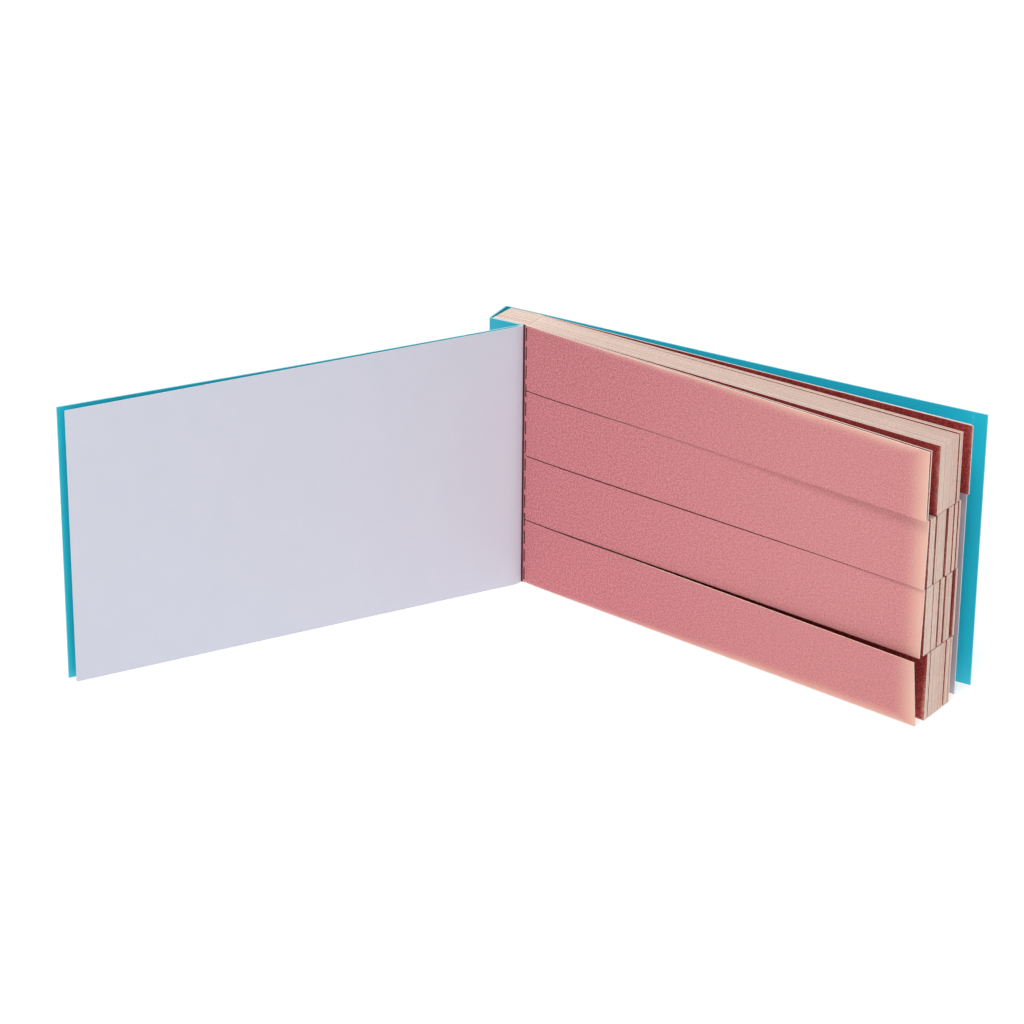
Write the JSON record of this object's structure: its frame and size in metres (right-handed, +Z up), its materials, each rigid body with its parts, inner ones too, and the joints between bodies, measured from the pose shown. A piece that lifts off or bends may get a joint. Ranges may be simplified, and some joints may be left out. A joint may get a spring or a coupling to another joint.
{
  "type": "test paper booklet",
  "caption": "Booklet of tear-off pink test paper strips in four rows, perforated at the margin, between two white flyleaves in a folded teal card cover, standing with its front cover open.",
  "frame": {"origin": "foot of the crease line between the bound margin and the leaves, at mid thickness of the leaf block, on the plane the booklet stands on", "axes": "+X along the leaves from the spine to the free edge, +Y from the front cover towards the back cover, +Z up along the spine"},
  "size_m": [0.105, 0.0667, 0.04],
  "materials": {
    "cover_card": "teal coated card, satin",
    "flyleaf_paper": "smooth white paper, matt",
    "test_paper": "absorbent dyed paper, mottled, with pale faded outer edges",
    "glue": "dried white padding glue"
  },
  "bodies": {
    "binding": {"spine_card": "cover_card", "front_hinge_strip": "cover_card", "back_hinge_strip": "cover_card", "front_hinge_glue": "glue", "back_hinge_glue": "glue", "front_flyleaf_stub": "flyleaf_paper", "back_flyleaf_stub": "flyleaf_paper", "leaf_margins": "test_paper", "spine_glue": "glue"},
    "front_cover": {"front_cover": "cover_card"},
    "front_flyleaf": {"front_flyleaf": "flyleaf_paper"},
    "back_cover": {"back_cover": "cover_card"},
    "back_flyleaf": {"back_flyleaf": "flyleaf_paper"},
    "row_1_rear_sheaves": {"row_1_sheaf_2": "test_paper", "row_1_sheaf_3": "test_paper", "row_1_sheaf_4": "test_paper"},
    "row_1_front_sheaves": {"row_1_sheaf_1": "test_paper"},
    "row_1_front_strip": {"row_1_front_strip": "test_paper"},
    "row_2_rear_sheaves": {"row_2_sheaf_3": "test_paper", "row_2_sheaf_4": "test_paper", "row_2_sheaf_5": "test_paper"},
    "row_2_front_sheaves": {"row_2_sheaf_1": "test_paper", "row_2_sheaf_2": "test_paper"},
    "row_2_front_strip": {"row_2_front_strip": "test_paper"},
    "row_3_rear_sheaves": {"row_3_sheaf_3": "test_paper", "row_3_sheaf_4": "test_paper", "row_3_sheaf_5": "test_paper"},
    "row_3_front_sheaves": {"row_3_sheaf_1": "test_paper", "row_3_sheaf_2": "test_paper"},
    "row_3_front_strip": {"row_3_front_strip": "test_paper"},
    "row_4_rear_sheaves": {"row_4_sheaf_2": "test_paper", "row_4_sheaf_3": "test_paper", "row_4_sheaf_4": "test_paper"},
    "row_4_front_sheaves": {"row_4_sheaf_1": "test_paper"},
    "row_4_front_strip": {"row_4_front_strip": "test_paper"}
  },
  "joints": [
    {"name": "front_cover_turn", "type": "hinge", "parent": "binding", "child": "front_cover", "pos_m": [0, -0.00281, 0.02], "axis": [0, 0, 1], "range_deg": [-57.5, 108.5]},
    {"name": "front_flyleaf_turn", "type": "hinge", "parent": "front_cover", "child": "front_flyleaf", "pos_m": [0.00025, -0.00295, 0.02], "axis": [0, 0, -1], "range_deg": [-60, 0.8]},
    {"name": "back_cover_turn", "type": "hinge", "parent": "binding", "child": "back_cover", "pos_m": [0, 0.00281, 0.02], "axis": [0, 0, 1], "range_deg": [0, 177]},
    {"name": "back_flyleaf_turn", "type": "hinge", "parent": "back_cover", "child": "back_flyleaf", "pos_m": [0, 0.00251, 0.02], "axis": [0, 0, 1], "range_deg": [-0.3, 2.6]},
    {"name": "row_1_rear_turn", "type": "hinge", "parent": "binding", "child": "row_1_rear_sheaves", "pos_m": [0.0005, -0.00237, 0.035], "axis": [0, 0, 1], "range_deg": [-40, 0.3]},
    {"name": "row_1_front_turn", "type": "hinge", "parent": "row_1_rear_sheaves", "child": "row_1_front_sheaves", "pos_m": [0.0005, -0.00237, 0.035], "axis": [0, 0, 1], "range_deg": [-60, 0.3]},
    {"name": "row_1_strip_tear_off", "type": "slide", "parent": "row_1_front_sheaves", "child": "row_1_front_strip", "axis": [0.9874, -0.1582, 0], "range_m": [0, 0.08]},
    {"name": "row_2_rear_turn", "type": "hinge", "parent": "binding", "child": "row_2_rear_sheaves", "pos_m": [0.0005, -0.00237, 0.025], "axis": [0, 0, 1], "range_deg": [-40, 1.4]},
    {"name": "row_2_front_turn", "type": "hinge", "parent": "row_2_rear_sheaves", "child": "row_2_front_sheaves", "pos_m": [0.0005, -0.00237, 0.025], "axis": [0, 0, 1], "range_deg": [-60, 0.3]},
    {"name": "row_2_strip_tear_off", "type": "slide", "parent": "row_2_front_sheaves", "child": "row_2_front_strip", "axis": [0.9895, -0.1444, 0], "range_m": [0, 0.08]},
    {"name": "row_3_rear_turn", "type": "hinge", "parent": "binding", "child": "row_3_rear_sheaves", "pos_m": [0.0005, -0.00237, 0.015], "axis": [0, 0, 1], "range_deg": [-40, 1.4]},
    {"name": "row_3_front_turn", "type": "hinge", "parent": "row_3_rear_sheaves", "child": "row_3_front_sheaves", "pos_m": [0.0005, -0.00237, 0.015], "axis": [0, 0, 1], "range_deg": [-60, 0.3]},
    {"name": "row_3_strip_tear_off", "type": "slide", "parent": "row_3_front_sheaves", "child": "row_3_front_strip", "axis": [0.9895, -0.1444, 0], "range_m": [0, 0.08]},
    {"name": "row_4_rear_turn", "type": "hinge", "parent": "binding", "child": "row_4_rear_sheaves", "pos_m": [0.0005, -0.00237, 0.005], "axis": [0, 0, 1], "range_deg": [-40, 1.4]},
    {"name": "row_4_front_turn", "type": "hinge", "parent": "row_4_rear_sheaves", "child": "row_4_front_sheaves", "pos_m": [0.0005, -0.00237, 0.005], "axis": [0, 0, 1], "range_deg": [-60, 0.3]},
    {"name": "row_4_strip_tear_off", "type": "slide", "parent": "row_4_front_sheaves", "child": "row_4_front_strip", "axis": [0.9871, -0.1599, 0], "range_m": [0, 0.08]}
  ]
}
